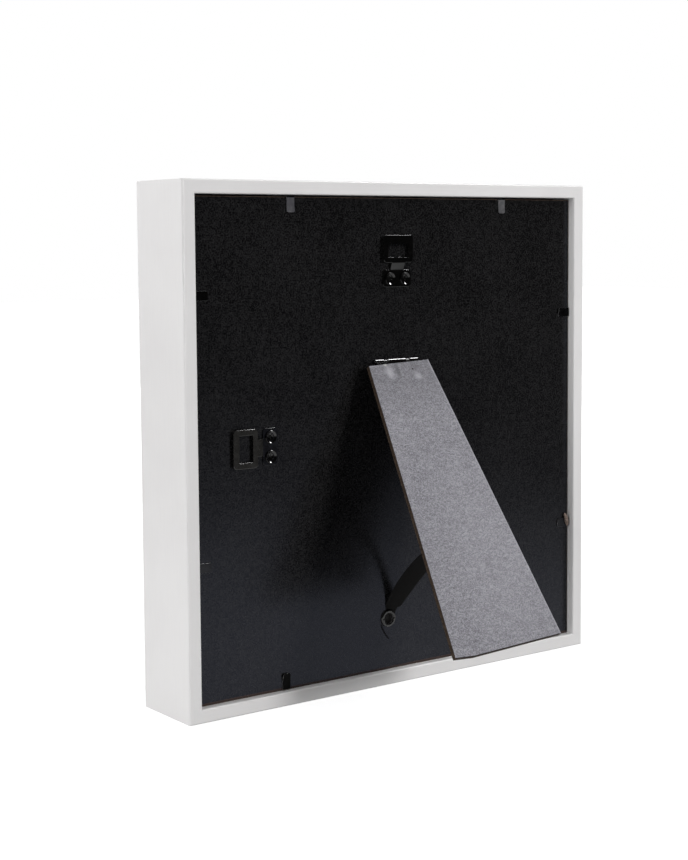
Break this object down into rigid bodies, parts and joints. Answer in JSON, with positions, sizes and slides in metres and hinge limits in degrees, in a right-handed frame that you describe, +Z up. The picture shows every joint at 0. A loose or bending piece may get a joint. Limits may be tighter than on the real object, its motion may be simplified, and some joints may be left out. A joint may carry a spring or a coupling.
{
  "type": "box frame",
  "caption": "Deep square picture frame with an acrylic front, mat and spacers, seen from the back: bending tabs, wall hangers and a hinged strut held by a strap.",
  "frame": {"origin": "middle of the frame's base, half way through its depth", "axes": "+Z up, +X to the right as seen from the front, +Y out of the back; the acrylic front faces -Y"},
  "size_m": [0.3, 0.1413, 0.3],
  "materials": {
    "white_lacquer": "satin white lacquer",
    "acrylic": "clear, gloss",
    "spacer_white": "matt white wrap",
    "mat_white": "matt card",
    "card_white": "matt blank card",
    "board_brown": "raw fibreboard edge",
    "film_black": "grained satin black foil",
    "strut_brown": "raw fibreboard edge, black inner face",
    "paper_grey": "grained matt grey paper",
    "ribbon_black": "smooth woven ribbon",
    "nail_steel": "bright",
    "pin_steel": "bright",
    "black_steel": "gloss black enamel"
  },
  "bodies": {
    "frame": {"rail_bottom": "white_lacquer", "rail_left": "white_lacquer", "rail_top": "white_lacquer", "rail_right": "white_lacquer", "corner_v_nails": "nail_steel", "acrylic_sheet": "acrylic", "spacer_bottom": "spacer_white", "spacer_left": "spacer_white", "spacer_top": "spacer_white", "spacer_right": "spacer_white", "mat_board": "mat_white", "picture_card": "card_white", "backing_board": "board_brown", "backing_film": "film_black", "tab_anchors": "black_steel", "hanger_top": "black_steel", "hanger_side": "black_steel", "hanger_rivets": "black_steel", "hinge_board_leaf": "black_steel", "hinge_board_rivets": "black_steel", "hinge_pin": "pin_steel", "strap": "ribbon_black", "strap_board_eyelet": "black_steel"},
    "strut": {"strut_board": "strut_brown", "strut_cover": "paper_grey", "hinge_strut_leaf": "black_steel", "hinge_strut_rivets": "black_steel", "strap_strut_eyelet": "black_steel"},
    "tab_top_left": {"tab_top_left": "black_steel"},
    "tab_top_right": {"tab_top_right": "black_steel"},
    "tab_bottom_left": {"tab_bottom_left": "black_steel"},
    "tab_bottom_right": {"tab_bottom_right": "black_steel"},
    "tab_left_upper": {"tab_left_upper": "black_steel"},
    "tab_left_lower": {"tab_left_lower": "black_steel"},
    "tab_right_upper": {"tab_right_upper": "black_steel"},
    "tab_right_lower": {"tab_right_lower": "black_steel"}
  },
  "joints": [
    {"name": "strut_hinge", "type": "hinge", "parent": "frame", "child": "strut", "pos_m": [0.0015, 0.02125, 0.19455], "axis": [1, 0, 0], "range_deg": [-30, 8], "deforming": ["strap"]},
    {"name": "tab_top_left_bend", "type": "hinge", "parent": "frame", "child": "tab_top_left", "pos_m": [-0.0834, 0.02035, 0.29165], "axis": [1, 0, 0], "range_deg": [0, 90]},
    {"name": "tab_top_right_bend", "type": "hinge", "parent": "frame", "child": "tab_top_right", "pos_m": [0.0765, 0.02035, 0.29165], "axis": [1, 0, 0], "range_deg": [0, 90]},
    {"name": "tab_bottom_left_bend", "type": "hinge", "parent": "frame", "child": "tab_bottom_left", "pos_m": [-0.0831, 0.02035, 0.00835], "axis": [-1, 0, 0], "range_deg": [0, 90]},
    {"name": "tab_bottom_right_bend", "type": "hinge", "parent": "frame", "child": "tab_bottom_right", "pos_m": [0.0825, 0.02035, 0.00835], "axis": [-1, 0, 0], "range_deg": [0, 90]},
    {"name": "tab_left_upper_bend", "type": "hinge", "parent": "frame", "child": "tab_left_upper", "pos_m": [-0.14165, 0.02035, 0.219], "axis": [0, 0, 1], "range_deg": [0, 90]},
    {"name": "tab_left_lower_bend", "type": "hinge", "parent": "frame", "child": "tab_left_lower", "pos_m": [-0.14165, 0.02035, 0.0819], "axis": [0, 0, 1], "range_deg": [0, 90]},
    {"name": "tab_right_upper_bend", "type": "hinge", "parent": "frame", "child": "tab_right_upper", "pos_m": [0.14165, 0.02035, 0.2364], "axis": [0, 0, -1], "range_deg": [0, 90]},
    {"name": "tab_right_lower_bend", "type": "hinge", "parent": "frame", "child": "tab_right_lower", "pos_m": [0.14165, 0.02035, 0.0858], "axis": [0, 0, -1], "range_deg": [0, 90]}
  ]
}
